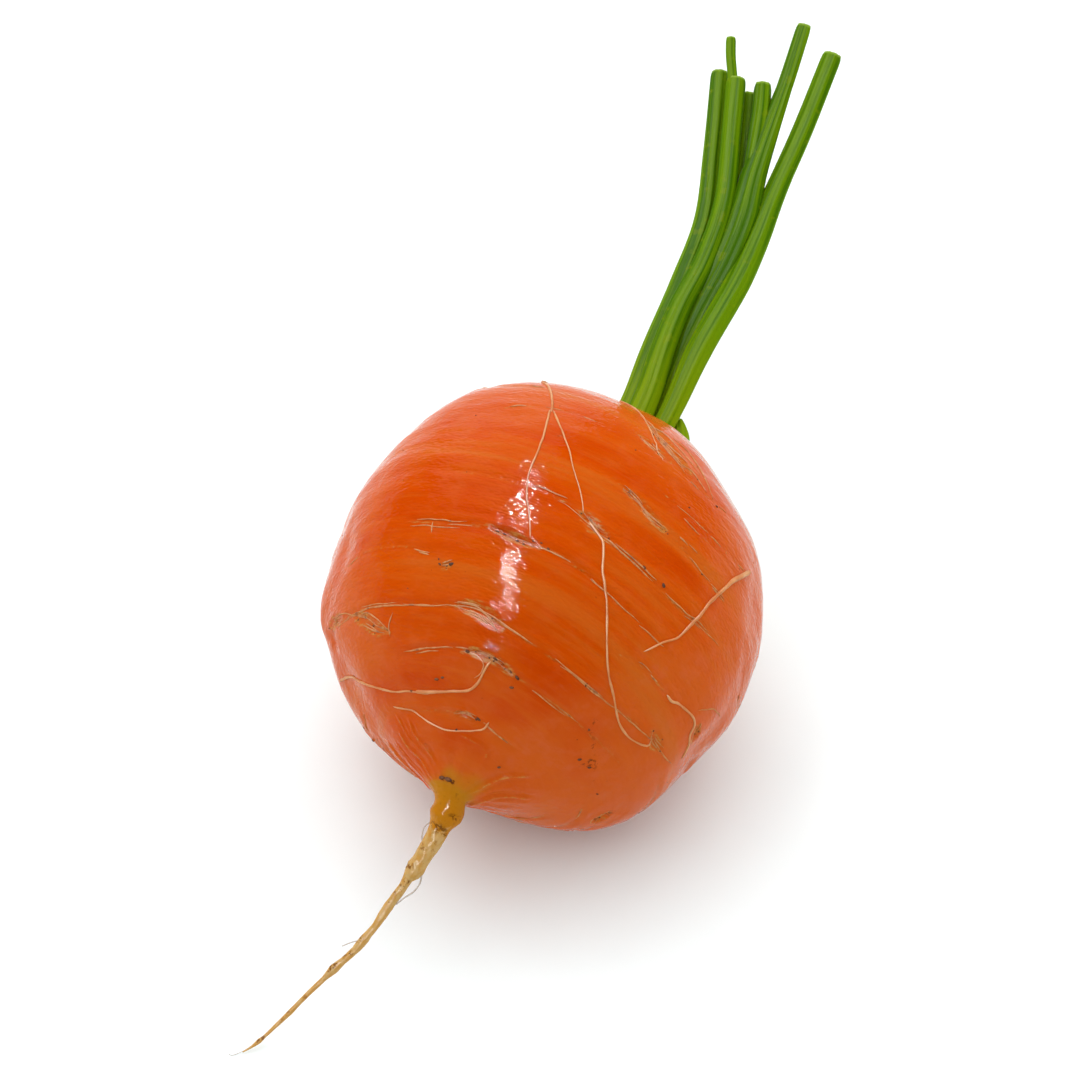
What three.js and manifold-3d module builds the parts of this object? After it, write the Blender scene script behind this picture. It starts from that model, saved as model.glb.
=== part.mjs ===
// Round carrot with its leaf stalks cut short, lying down, its long thin tail root drooping to the surface.
// Millimetres. +Z is up, +Y points towards the crown and its leaf stalks, and +X is to the right of someone
// who looks along +Y. The origin is the centre of the small flat spot that the root rests on.
//
// Everything that grew from the root is laid out in the root's own frame: X across, Y along the root's axis
// towards the crown, Z up from the axis, with the middle of the swollen root as its origin. A place on its skin
// is a latitude (90 at the crown, -90 at the tail) and a longitude (0 on top, 90 on the +X side), in degrees.

import * as THREE from "three";
import { mergeVertices } from "three/addons/utils/BufferGeometryUtils.js";
import Module from "manifold-3d";

const wasm = await Module();
wasm.setup();

// ---- driving dimensions ----

const GIRTH_RADIUS = 25.6; // of the swollen root, across its axis
const CROWN_RADIUS = 26; // from its middle to the crown
const TAIL_RADIUS = 25.1; // from its middle to the tail end, which is a little flatter
const CENTRE_HEIGHT = 24.7; // of its middle, so that the lowest part of the skin is pressed flat
const AXIS_DIP = 8.6; // degrees by which the tail end lies lower than the crown

const LOBE_HEIGHT = 0.35; // three soft lobes run from crown to tail
const LOBE_LONGITUDE = 6;
const DIMPLE_DEPTH = 1.8; // the hollow in the crown that the leaf stalks grow from
const DIMPLE_HALF_ANGLE = 13;
const FLARE_HEIGHT = 2.2; // the skin drawn out where the tail root begins
const FLARE_HALF_ANGLE = 9;
const TAIL_SHOULDER = -64; // latitude of the flatter band around the flare
const TAIL_SHOULDER_DEPTH = 0.6;
const TAIL_SHOULDER_HALF_ANGLE = 9;

const BUNDLE_BEND = 0.0022; // the stalks curve upwards from the axis by this times the distance squared
const BUNDLE_START = 24.6; // distance along the axis where the stalks begin, just clear of the dimple's floor

const BODY_SIDES = 48;
const BODY_RINGS = 36;
const TAIL_SIDES = 10;
const TAIL_STEPS = 30;
const STALK_SIDES = 10;
const STALK_STEPS = 16;

// Swellings and hollows of the skin: latitude, longitude, spread in degrees, height in mm.
const LUMPS = [
  [37, -45, 18, 0.9],
  [48, 66, 12, -0.6],
  [58, 10, 12, -0.5],
  [-8, -73, 8, -0.5],
  [-26, -84, 7, 0.5],
  [-30, 6, 16, 0.7],
  [-18, 114, 9, -0.9],
  [-42, 130, 16, 1.1],
  [14, 150, 16, 0.5],
  [28, -140, 15, -0.6],
  [-34, -140, 15, 0.6],
];

// The tail root's line, and its half width at fractions of its length, with the knobs that it has.
const TAIL_LINE = [
  [0.6, -23, 0.4],
  [0.8, -27, -1],
  [0.3, -31, -3.1],
  [-1.5, -37.3, -6.4],
  [-3.8, -43.3, -9.3],
  [-7.5, -50.2, -12.3],
  [-11.4, -57.4, -15.4],
  [-12.5, -58.8, -15.8],
];
const TAIL_HALF_WIDTHS = [
  [0, 2.6],
  [0.09, 1.75],
  [0.17, 1.25],
  [0.29, 1.12],
  [0.36, 0.7],
  [0.46, 0.52],
  [0.65, 0.55],
  [0.7, 0.34],
  [0.84, 0.25],
  [0.91, 0.28],
  [0.95, 0.14],
  [1, 0.1],
];

// Fine side roots lie on the skin, grown into it: half width, then latitude and longitude along each.
const SIDE_ROOTS = [
  { halfWidth: 0.25, places: [[48, -26], [40, -16], [27, -7], [12, -3], [-2, 0], [-12, 6]] },
  { halfWidth: 0.22, places: [[28, -7], [15, 4], [8, 9], [0, 14]] },
  { halfWidth: 0.25, places: [[-2, 16], [-12, 26], [-20, 32], [-30, 42], [-37, 54], [-39, 66], [-36, 76]] },
  { halfWidth: 0.42, places: [[20, 69], [11, 62], [5, 59], [-5, 56], [-15, 53], [-22, 48]] },
  { halfWidth: 0.28, places: [[-45, 8], [-52, 7], [-57, -3], [-60, -14], [-60, -28]] },
  { halfWidth: 0.25, places: [[-42, -93], [-50, -77], [-57, -56], [-60, -35], [-59, -18]] },
  { halfWidth: 0.24, places: [[-62, 20], [-67, 12], [-69, -5], [-68, -24], [-64, -48]] },
];

// Leaf stalks: half width at the foot and at the cut, and a line of points, each the distance along the axis,
// the distance across, and the height above the bundle's middle, which itself bends upwards.
const STALKS = {
  leaf_stalk_left: {
    foot: 0.95,
    cut: 1,
    line: [
      [31, -2.2, -0.7],
      [38, -3.1, -0.7],
      [48, -3.5, -0.6],
      [57, -4.1, -0.6],
      [66, -6.6, -0.5],
      [76.3, -9.9, -0.3],
    ],
  },
  leaf_stalk_middle: {
    foot: 0.95,
    cut: 1.05,
    line: [
      [31, 0, 0.8],
      [38, -0.9, 0.8],
      [44, -1.4, 0.8],
      [51, -1.2, 0.9],
      [59, -2.2, 1],
      [68, -5.1, 1.1],
      [75.2, -7.4, 1.1],
    ],
  },
  leaf_stalk_right: {
    foot: 0.97,
    cut: 1.15,
    line: [
      [31, 3.7, 0.6],
      [39, 3.5, 0.6],
      [50, 3.9, 0.2],
      [56, 3.6, -0.1],
      [63, 3, -0.2],
      [72, 2.9, -0.2],
      [82.6, 2.7, 0],
    ],
  },
  leaf_stalk_back: {
    foot: 0.9,
    cut: 0.95,
    line: [
      [31, -0.5, -2.5],
      [40, -0.8, -2.5],
      [50, -0.8, -2.1],
      [58, -1.1, -1.6],
      [66, -2.9, -1.4],
      [75.2, -5.7, -1.3],
    ],
  },
};

// Where each stalk begins in the crown: the distance across, and the height above the bundle's middle.
const STALK_FEET = {
  leaf_stalk_left: [-2, -0.7],
  leaf_stalk_middle: [0.2, 0.9],
  leaf_stalk_right: [3.6, 0.5],
  leaf_stalk_back: [-0.3, -2.4],
  leaf_stalk_forked: [1.8, -1],
};

// The forked stalk runs on into its long arm; the short arm leaves it sideways near the top.
const FORKED_STALK = {
  foot: 0.93,
  cut: 0.9,
  line: [
    [31, 1.6, -1],
    [38, 1.1, -1],
    [45, 0.9, -0.6],
    [52, 1.2, 0],
    [58, 1.1, 0.3],
    [64, 0.5, 0.6],
    [71, -0.5, 0.9],
    [77, -1.1, 0.9],
    [84.6, -1.8, 0.9],
  ],
};
const SHORT_ARM = {
  halfWidth: 1.05,
  line: [
    [64, 0.4, 0.6],
    [69, -1.1, 0.9],
    [73, -2.6, 0.9],
    [75.7, -3.7, 0.9],
  ],
};

// A thin torn strand stands on the middle stalk's cut.
const STRAND = {
  halfWidth: 0.5,
  line: [
    [74.2, -7.3, 1.2],
    [76.6, -8.4, 1.4],
    [78.3, -9.1, 1.5],
    [79.8, -9.7, 1.6],
  ],
};

// What is left of an outer leaf, broken off short beside the right stalk's foot.
const LEAF_BASE_STUB = {
  halfWidth: 0.55,
  line: [
    [25.4, 5.4, -0.5],
    [27.6, 5.5, -0.6],
    [30.3, 5.4, -0.7],
  ],
};

// ---- the skin of the swollen root ----

const radians = THREE.MathUtils.degToRad;

function direction(latitude, longitude) {
  const around = Math.cos(radians(latitude));
  return new THREE.Vector3(
    around * Math.sin(radians(longitude)),
    Math.sin(radians(latitude)),
    around * Math.cos(radians(longitude)),
  );
}

function bell(angle, halfAngle, power) {
  return Math.exp(-Math.pow(Math.abs(angle) / halfAngle, power));
}

function skinRadius(latitude, longitude) {
  const ray = direction(latitude, longitude);
  const endRadius = latitude > 0 ? CROWN_RADIUS : TAIL_RADIUS;
  const around = Math.cos(radians(latitude));
  let radius = 1 / Math.hypot(around / GIRTH_RADIUS, ray.y / endRadius);
  radius += LOBE_HEIGHT * around * around * Math.cos(radians(3 * (longitude - LOBE_LONGITUDE)));
  for (const [lumpLatitude, lumpLongitude, spread, height] of LUMPS) {
    const angle = THREE.MathUtils.radToDeg(ray.angleTo(direction(lumpLatitude, lumpLongitude)));
    radius += height * bell(angle, spread, 2);
  }
  radius -= DIMPLE_DEPTH * bell(90 - latitude, DIMPLE_HALF_ANGLE, 4);
  radius -= TAIL_SHOULDER_DEPTH * bell(latitude - TAIL_SHOULDER, TAIL_SHOULDER_HALF_ANGLE, 2);
  radius += FLARE_HEIGHT * bell(latitude + 90, FLARE_HALF_ANGLE, 2);
  return radius;
}

function onSkin(latitude, longitude, lift = 0) {
  return direction(latitude, longitude).multiplyScalar(skinRadius(latitude, longitude) + lift);
}

// ---- closed meshes ----

// A closed skin over a stack of rings with equal numbers of points, ended by a fan at each end.
function loft(rings, firstEnd, lastEnd) {
  const sides = rings[0].length;
  const points = [...rings.flat(), firstEnd, lastEnd];
  const first = points.length - 2;
  const last = points.length - 1;
  const faces = [];
  for (let side = 0; side < sides; side++) {
    const next = (side + 1) % sides;
    faces.push(first, next, side);
    for (let ring = 0; ring < rings.length - 1; ring++) {
      const here = ring * sides;
      const there = here + sides;
      faces.push(here + side, here + next, there + side);
      faces.push(here + next, there + next, there + side);
    }
    const end = (rings.length - 1) * sides;
    faces.push(end + side, end + next, last);
  }
  const geometry = new THREE.BufferGeometry().setFromPoints(points);
  geometry.setIndex(faces);
  return geometry;
}

function smoothLine(points) {
  return new THREE.CatmullRomCurve3(points.map((point) => new THREE.Vector3(...point)), false, "centripetal");
}

// A round rod along a curve, with its half width given at each fraction of the curve's length.
function rod(curve, halfWidthAt, steps, sides) {
  const frames = curve.computeFrenetFrames(steps, false);
  const rings = [];
  for (let step = 0; step <= steps; step++) {
    const centre = curve.getPointAt(step / steps);
    const halfWidth = halfWidthAt(step / steps);
    const ring = [];
    for (let side = 0; side < sides; side++) {
      const turn = (2 * Math.PI * side) / sides;
      const across = frames.normals[step].clone().multiplyScalar(Math.cos(turn) * halfWidth);
      const up = frames.binormals[step].clone().multiplyScalar(Math.sin(turn) * halfWidth);
      ring.push(centre.clone().add(across).add(up));
    }
    rings.push(ring);
  }
  return loft(rings, curve.getPointAt(0), curve.getPointAt(1));
}

// The value at a fraction, read along straight lines between listed pairs of fraction and value.
function between(pairs, fraction) {
  const upper = Math.max(1, pairs.findIndex(([at]) => at >= fraction));
  const [from, before] = pairs[upper - 1];
  const [to, after] = pairs[upper];
  return THREE.MathUtils.mapLinear(fraction, from, to, before, after);
}

function solid(geometry) {
  const bare = geometry.clone();
  bare.deleteAttribute("normal");
  bare.deleteAttribute("uv");
  const merged = mergeVertices(bare, 1e-4);
  return new wasm.Manifold(
    new wasm.Mesh({
      numProp: 3,
      vertProperties: new Float32Array(merged.attributes.position.array),
      triVerts: new Uint32Array(merged.index.array),
    }),
  );
}

function geometryOf(made) {
  const mesh = made.getMesh();
  const geometry = new THREE.BufferGeometry();
  geometry.setAttribute("position", new THREE.BufferAttribute(mesh.vertProperties, 3));
  geometry.setIndex(new THREE.BufferAttribute(mesh.triVerts, 1));
  geometry.computeVertexNormals();
  return geometry;
}

// ---- the taproot: swollen root, side roots and tail root, grown as one ----

function swollenRoot() {
  const rings = [];
  for (let ring = 1; ring < BODY_RINGS; ring++) {
    const latitude = -90 + (180 * ring) / BODY_RINGS;
    const points = [];
    for (let side = 0; side < BODY_SIDES; side++) {
      points.push(onSkin(latitude, (360 * side) / BODY_SIDES));
    }
    rings.push(points);
  }
  return solid(loft(rings, onSkin(-90, 0), onSkin(90, 0)));
}

function tailRoot() {
  const halfWidthAt = (fraction) => between(TAIL_HALF_WIDTHS, fraction);
  return solid(rod(smoothLine(TAIL_LINE), halfWidthAt, TAIL_STEPS, TAIL_SIDES));
}

function sideRoot({ halfWidth, places }) {
  const sunk = -0.3 * halfWidth;
  const stepsPerPlace = 3;
  const sides = 6;
  const points = places.map(([latitude, longitude]) => onSkin(latitude, longitude, sunk).toArray());
  const taper = (fraction) => halfWidth * (1 - 0.6 * fraction);
  return solid(rod(smoothLine(points), taper, places.length * stepsPerPlace, sides));
}

// The surface under the carrot, in the root's own frame: it presses the lowest skin flat.
function restingSurface() {
  const width = 60;
  const depth = 20;
  const block = new THREE.BoxGeometry(width, width, depth);
  block.translate(0, 0, -CENTRE_HEIGHT - depth / 2);
  block.rotateX(-radians(AXIS_DIP));
  return solid(block);
}

function taproot() {
  let made = swollenRoot().add(tailRoot());
  for (const root of SIDE_ROOTS) {
    made = made.add(sideRoot(root));
  }
  return made.subtract(restingSurface());
}

// ---- the leaf stalks ----

function bundlePoint([along, across, above]) {
  return [across, along, above + BUNDLE_BEND * (along - BUNDLE_START) ** 2];
}

function stalk({ foot, cut, line }, [across, above]) {
  const points = [[BUNDLE_START, across, above], ...line];
  const taper = (fraction) => THREE.MathUtils.lerp(foot, cut, fraction);
  return solid(rod(smoothLine(points.map(bundlePoint)), taper, STALK_STEPS, STALK_SIDES));
}

// A short rod of even width, in the bundle's own coordinates.
function twig({ halfWidth, line }) {
  return solid(rod(smoothLine(line.map(bundlePoint)), () => halfWidth, 2 * line.length, STALK_SIDES));
}

// ---- materials and meshes ----

const carrotSkin = () => new THREE.MeshStandardMaterial({ color: 0xd3500b, roughness: 0.35, metalness: 0 });
const greenStalk = () => new THREE.MeshStandardMaterial({ color: 0x5f8c02, roughness: 0.45, metalness: 0 });

const carrot = new THREE.Group();
carrot.rotation.x = radians(AXIS_DIP);
carrot.position.z = CENTRE_HEIGHT;

function addPiece(name, made, material) {
  const mesh = new THREE.Mesh(geometryOf(made), material);
  mesh.name = name;
  carrot.add(mesh);
}

addPiece("taproot", taproot(), carrotSkin());
for (const [name, shape] of Object.entries(STALKS)) {
  let made = stalk(shape, STALK_FEET[name]);
  if (name === "leaf_stalk_middle") {
    made = made.add(twig(STRAND));
  }
  addPiece(name, made, greenStalk());
}
const longArm = stalk(FORKED_STALK, STALK_FEET.leaf_stalk_forked);
addPiece("leaf_stalk_forked", longArm.add(twig(SHORT_ARM)), greenStalk());
addPiece("leaf_base_stub", twig(LEAF_BASE_STUB), greenStalk());

export default carrot;
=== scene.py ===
# Round carrot with its leaf stalks cut short, lying on a pale floor in soft studio light.
#
# As in the CAD, it is laid out in the root's own frame, in millimetres: X across, Y along the root's axis
# towards the crown, Z up, from the middle of the swollen root. A place on its skin is a latitude (90 at the
# crown, -90 at the tail) and a longitude (0 on top, 90 on the +X side), in degrees, and a ray is the unit
# direction to it.

import itertools
import math

import bpy
import numpy as np
from mathutils import Matrix


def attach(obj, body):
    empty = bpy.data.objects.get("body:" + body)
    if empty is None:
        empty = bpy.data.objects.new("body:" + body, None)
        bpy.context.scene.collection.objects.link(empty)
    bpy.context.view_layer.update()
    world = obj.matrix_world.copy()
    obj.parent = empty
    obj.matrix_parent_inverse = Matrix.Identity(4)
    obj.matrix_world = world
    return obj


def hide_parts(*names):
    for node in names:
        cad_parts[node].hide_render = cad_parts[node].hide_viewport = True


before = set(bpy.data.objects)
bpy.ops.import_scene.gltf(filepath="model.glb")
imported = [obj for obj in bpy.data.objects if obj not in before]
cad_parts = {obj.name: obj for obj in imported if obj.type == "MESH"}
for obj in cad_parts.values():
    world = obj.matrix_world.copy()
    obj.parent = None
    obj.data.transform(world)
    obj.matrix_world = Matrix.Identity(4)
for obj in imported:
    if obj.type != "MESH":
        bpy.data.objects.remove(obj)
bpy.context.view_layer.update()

MM = 0.001

# ---- driving dimensions, as in the CAD ----

GIRTH_RADIUS = 25.6
CROWN_RADIUS = 26
TAIL_RADIUS = 25.1
CENTRE_HEIGHT = 24.7
AXIS_DIP = 8.6

LOBE_HEIGHT = 0.35
LOBE_LONGITUDE = 6
DIMPLE_DEPTH = 1.8
DIMPLE_HALF_ANGLE = 13
FLARE_HEIGHT = 2.2
FLARE_HALF_ANGLE = 9
TAIL_SHOULDER = -64
TAIL_SHOULDER_DEPTH = 0.6
TAIL_SHOULDER_HALF_ANGLE = 9

BUNDLE_BEND = 0.0022
BUNDLE_START = 24.6

# Swellings and hollows of the skin: latitude, longitude, spread in degrees, height in mm.
LUMPS = [
    (37, -45, 18, 0.9), (48, 66, 12, -0.6), (58, 10, 12, -0.5), (-8, -73, 8, -0.5), (-26, -84, 7, 0.5),
    (-30, 6, 16, 0.7), (-18, 114, 9, -0.9), (-42, 130, 16, 1.1), (14, 150, 16, 0.5), (28, -140, 15, -0.6),
    (-34, -140, 15, 0.6),
]

# Smaller dents and swellings that only the skin shows, in the same form.
SMALL_LUMPS = [
    (-50, -83, 10, -0.8), (-38, -79, 2.5, -0.35), (-30, -86, 3, 0.2), (-17, -62, 7, -0.6),
    (16, 81, 10, -0.5), (-4, 94, 12, -0.6), (-20, 100, 9, -0.8), (43, -42, 3, -0.2), (39, -47, 3, 0.15),
]

TAIL_LINE = [
    (0.6, -23, 0.4), (0.8, -27, -1), (0.3, -31, -3.1), (-1.5, -37.3, -6.4), (-3.8, -43.3, -9.3),
    (-7.5, -50.2, -12.3), (-11.4, -57.4, -15.4), (-12.5, -58.8, -15.8),
]
TAIL_LINE_STEPS = 400
# The tail root's skin, at fractions of its length: its half width, and how far its middle leaves the line.
TAIL_SHAPE = [
    (0.1, 1.8, -0.1), (0.145, 1.95, -0.3), (0.175, 1.25, -0.35), (0.2, 1.2, -0.3), (0.225, 1.17, -0.25),
    (0.26, 1.08, -0.25), (0.28, 1, -0.2), (0.305, 1.12, -0.2), (0.33, 0.92, -0.2), (0.345, 0.6, -0.3),
    (0.375, 0.53, -0.2), (0.43, 0.55, -0.25), (0.465, 0.56, -0.15), (0.5, 0.42, 0), (0.535, 0.48, 0),
    (0.56, 0.58, 0.05), (0.585, 0.45, 0.1), (0.63, 0.4, 0), (0.665, 0.54, -0.05), (0.7, 0.32, 0),
    (0.79, 0.27, 0), (0.835, 0.3, 0.05), (0.89, 0.21, 0), (0.925, 0.18, 0), (0.945, 0.28, 0),
    (0.97, 0.15, 0), (1, 0.07, 0),
]
# Brown scabs on the tail root: fraction of its length, turn round it in degrees, half length in mm, strength.
TAIL_SCABS = [
    (0.135, 60, 0.5, 0.5), (0.178, 0, 0.55, 1), (0.185, 40, 0.4, 0.8), (0.25, -20, 0.35, 0.5),
    (0.315, -50, 0.45, 0.7), (0.35, 10, 0.35, 0.8), (0.37, 0, 0.3, 0.6), (0.395, -10, 0.3, 0.6),
    (0.555, -60, 0.55, 1.3), (0.6, 0, 0.35, 0.9), (0.615, -50, 0.4, 0.9), (0.662, -50, 0.8, 1.2),
    (0.83, -40, 0.5, 0.6), (0.945, 0, 0.8, 1.3),
]
# Hairs of the tail root: half width, then fractions of its length and distances to the right of its middle.
TAIL_HAIRS = {
    "left": (0.08, [(0.165, -1), (0.18, -1.55), (0.203, -1.9), (0.228, -1.6), (0.246, -1.1)]),
    "right": (0.1, [(0.31, 0.7), (0.335, 1.15), (0.362, 1.15), (0.39, 0.7), (0.42, 0.35)]),
    "stub": (0.07, [(0.56, -0.3), (0.578, -0.8), (0.605, -1.3)]),
    "tip": (0.05, [(0.975, 0), (1.005, -0.1), (1.03, -0.35), (1.035, -0.6)]),
}

# ---- fineness of the meshes ----

BODY_SIDES = 352
BODY_RINGS = 232
TAIL_SIDES = 44
TAIL_STEPS = 150
NECK_STEPS = 9
NECK_LATITUDE = -84.5  # where the swollen root's rings hand over to the tail root's
NECK_FRACTION = 0.13  # of the tail root's line, where its own shape starts
STALK_SIDES = 48
STALK_STEPS = 150
NECK_STRIDE = BODY_SIDES // TAIL_SIDES
SIDE_ROOT_FINENESS = 0.74  # of the half widths listed below
FOOT_DEPTH = 1.6  # how far a stalk's foot reaches below its CAD node's, into the crown
CUT_FRACTION = 0.999  # of a stalk's length, from where its pith shows

# ---- lines and scars on the skin ----

# Growth rings that show as grooves with a corky edge: half width and depth in mm, then places along each.
RING_LINES = [
    (0.3, 0.16, [(14, 13), (12, 19), (9, 27), (8, 36), (6, 45), (5, 53), (5, 62)]),
    (0.22, 0.1, [(19, 23), (17, 33), (17, 45), (17, 57), (20, 74)]),
    (0.35, 0.2, [(0, -30), (0, -8), (0, 8), (-2, 16), (-4, 22), (-6, 36), (-7, 49), (-6, 58), (-5, 68)]),
    (0.4, 0.26, [(-15, -36), (-15, -19), (-14, -8), (-14, 4), (-14, 15), (-15, 24), (-17, 38), (-17, 52)]),
    (0.3, 0.16, [(-27, 40), (-25, 52), (-25, 60), (-24, 68)]),
    (0.35, 0.22, [(-34, -88), (-37, -66), (-37, -41), (-36, -16), (-34, 0), (-36, 14), (-37, 25), (-38, 45),
     (-36, 64), (-34, 76)]),
    (0.4, 0.28, [(-49, -30), (-46, -10), (-44, 6), (-46, 20), (-47, 34), (-47, 51), (-46, 66), (-43, 84)]),
    (0.35, 0.22, [(-66, -46), (-66, -28), (-64, -4), (-63, 12), (-65, 32), (-65, 52)]),
    (0.25, 0.1, [(15, 38), (14, 47), (15, 55), (14, 64)]),
    (0.25, 0.1, [(9, 36), (8, 46), (7, 54), (7, 62)]),
    (0.25, 0.12, [(30, 26), (29, 34), (28, 42), (30, 55)]),
    (0.3, 0.12, [(24, -24), (28, -12), (30, 0), (30, 10)]),
    (0.25, 0.1, [(-24, -60), (-22, -44), (-22, -30), (-23, -20)]),
    (0.25, 0.1, [(43, -60), (40, -44), (39, -30), (41, -18)]),
]

# Lens-shaped scars where side roots broke the skin: half width, depth, then places along each.
SCARS = [
    (0.6, 0.28, [(11, 21), (10, 26), (8, 31), (7, 36)]),
    (0.55, 0.5, [(-13.4, -6), (-13.8, -1), (-14.3, 4), (-14.4, 9)]),
    (0.8, 0.25, [(-1, 14), (-3, 19), (-4.5, 24)]),
    (0.9, 0.3, [(-34.5, -7), (-34, -1), (-35, 5), (-36, 9)]),
    (0.6, 0.35, [(-45, -2), (-44, 5), (-44.5, 12), (-46, 19)]),
    (0.5, 0.3, [(-64, -2), (-63, 6), (-63, 13)]),
    (0.9, 0.2, [(42, 20), (38, 26), (34, 32), (31, 38)]),
    (0.6, 0.2, [(33, 18), (31, 24), (29, 31)]),
    (0.8, 0.22, [(-38, -54), (-40, -47), (-43, -40), (-44, -34)]),
    (0.7, 0.3, [(-33, 72), (-34, 77), (-33, 82)]),
    (0.6, 0.3, [(-21, 84), (-22, 88), (-23, 92)]),
    (0.6, 0.3, [(-47, 110), (-49, 116), (-50, 121)]),
    (0.6, 0.25, [(-36, -62), (-35, -70), (-34, -78)]),
    (0.5, 0.2, [(-26, -15), (-25, -12)]),
]

# Pale folds of skin that run into the tail root's neck: half width and height, then places along each.
FOLDS = [
    (0.3, 0.16, [(-70, -62), (-75, -64), (-79, -56), (-84, -49)]),
    (0.35, 0.18, [(-66, -96), (-71, -108), (-76, -122), (-82, -131)]),
    (0.25, 0.14, [(-68, -42), (-72, -43), (-77, -33), (-82, -22)]),
    (0.25, 0.12, [(-71, -82), (-77, -86), (-83, -80)]),
    (0.2, 0.1, [(-66, -54), (-72, -54), (-78, -44)]),
    (0.3, 0.12, [(-70, 3), (-70, 15), (-71, 27), (-74, 36)]),
    (0.35, 0.2, [(-83, 140), (-80, 97), (-75, 92), (-69, 98)]),
    (0.3, 0.14, [(-84, 70), (-79, 62), (-73, 62), (-67, 70)]),
    (0.3, 0.15, [(-84, 190), (-78, 200), (-72, 196)]),
    (0.25, 0.12, [(-83, 165), (-77, 168), (-71, 160)]),
    (0.3, 0.12, [(-83, 235), (-77, 226), (-70, 232)]),
]

# Thin strands of cork that stand alone on the skin.
STRANDS = [
    [(-39, -32), (-42, -34), (-45, -34)],
    [(-39, -52), (-38, -46), (-40, -40), (-43, -35)],
    [(-41, -49), (-43, -43), (-44, -37)],
    [(-34, -70), (-36, -60), (-38, -53)],
    [(-15, -22), (-18, -21)],
    [(42, 20), (41, 27), (38, 35), (34, 42)],
    [(40, 24), (37, 30), (34, 36)],
    [(46, 16), (41, 23), (33, 29), (29, 36)],
    [(36, 24), (32, 30), (32, 38), (29, 45)],
    [(43, 30), (41, 38), (36, 43), (29, 48)],
    [(11, 21), (11, 25), (9, 30), (8, 36)],
    [(12, 21), (10, 27), (8, 35)],
    [(-34, -8), (-33, -2), (-35, 4), (-37, 8)],
    [(-35, -7), (-35, 0), (-36, 6)],
    [(-20, 78), (-15, 84), (-12, 93)],
    [(-34, 75), (-33, 84), (-31, 93)],
]

# Thin soil and scuffs rubbed into the skin: latitude, longitude, spread in degrees, strength.
SMUDGES = [
    (-45, 55, 4, 0.6), (-49, 60, 4, 0.65), (-51, 71, 4, 0.75), (-51, 86, 3.5, 0.75), (-48, 112, 2.5, 0.8),
    (-84.5, -8, 1.7, 1.4), (-84, 12, 1.3, 0.8), (-75, -76, 3, 0.4), (-26, 70, 3, 0.3), (37, 29, 3, 0.3),
    (-51, -8, 3, 0.3), (-42, -25, 3, 0.2),
]

# Crumbs of soil: latitude, longitude, size in mm, turn in radians.
CRUMBS = [
    (-14, -3, 0.18, 0.1), (-14, -1, 0.14, 0), (-14.6, 3, 0.17, -0.2), (-15, 5, 0.15, -0.4),
    (-25, -12, 0.2, 0.5), (-25.6, -13.4, 0.1, 0.6), (-45, 0, 0.2, 0), (-44.5, 8, 0.13, -0.2),
    (-44, 10, 0.22, -0.4), (-45.5, 17, 0.15, -0.7), (-46, 20, 0.2, -0.5), (-49, 20, 0.16, 0.3),
    (-63, 13, 0.2, -0.5), (-69, 1, 0.12, 1.2), (-60, -29, 0.16, 0), (-84, -15, 0.25, 0.2),
    (-84, 2, 0.3, 0.1), (-5, 35, 0.16, -0.5), (-5.5, 42, 0.18, -0.6), (-55, -12, 0.18, 0.3),
    (28, 50, 0.12, 0), (5, 51, 0.1, 0), (19, 40, 0.1, 0.3), (-13, 9, 0.1, 0), (-38, 41, 0.12, -0.5),
    (-54, -9, 0.15, 0.4), (-52, 73, 0.15, 1), (-52, 94, 0.12, 0.7), (-46, 55, 0.12, -0.6),
    (-53, 66, 0.16, 1.2), (-73, 48, 0.14, 1.2),
]

# Side roots lying on the skin: half width at the start and the end, then places along each.
SIDE_ROOTS = {
    "trunk": (0.2, 0.17, [(56, -34), (49, -28), (40, -16), (31, -9), (27, -7)]),
    "left": (0.17, 0.12, [(28, -8), (20, -5), (12, -3), (4, -2), (-2, 0), (-7, 3), (-13, 6)]),
    "right": (0.15, 0.1, [(28, -7), (21, -1), (15, 4), (9, 8), (4, 12), (-1, 15)]),
    "long": (0.2, 0.15, [(-2, 17), (-5, 22), (-8, 24), (-12, 26), (-18, 31), (-22, 34), (-28, 39),
        (-32, 44), (-36, 52), (-39, 60), (-39, 69), (-36, 76), (-34, 76)]),
    "thick": (0.42, 0.13, [(21, 71), (16, 66), (11, 62), (5, 59), (0, 57), (-5, 56), (-9, 55), (-13, 54),
        (-17, 51), (-22, 48)]),
    "claw": (0.17, 0.27, [(-45, 9), (-48, 8), (-52, 7), (-55, 4), (-57, -3), (-59, -14), (-60, -26)]),
    "low": (0.24, 0.12, [(-43, -95), (-48, -82), (-53, -70), (-58, -54), (-60, -43), (-60, -31),
        (-60, -17)]),
    "loop": (0.16, 0.12, [(-62, 19), (-65, 18), (-67, 13), (-69, 3), (-70, -9), (-69, -22), (-66, -36),
        (-64, -52)]),
    "hook": (0.2, 0.15, [(-25, 64), (-25, 67), (-24, 69), (-23, 73), (-22, 78), (-22, 82), (-24, 85),
        (-25, 91), (-27, 96)]),
    "crown": (0.14, 0.1, [(62, 2), (59, 4), (56, 10), (48, 16), (41, 20), (32, 25), (28, 28)]),
    "strand": (0.1, 0.07, [(-45, 0), (-45, 4), (-46, 7), (-49, 7), (-51, 5)]),
}

# ---- leaf stalks, close to the CAD's lines ----
# Each has its thickness for its width, its half widths at distances along the bundle, and its line: distance
# along, distance across and height above the bundle's middle.

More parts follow.
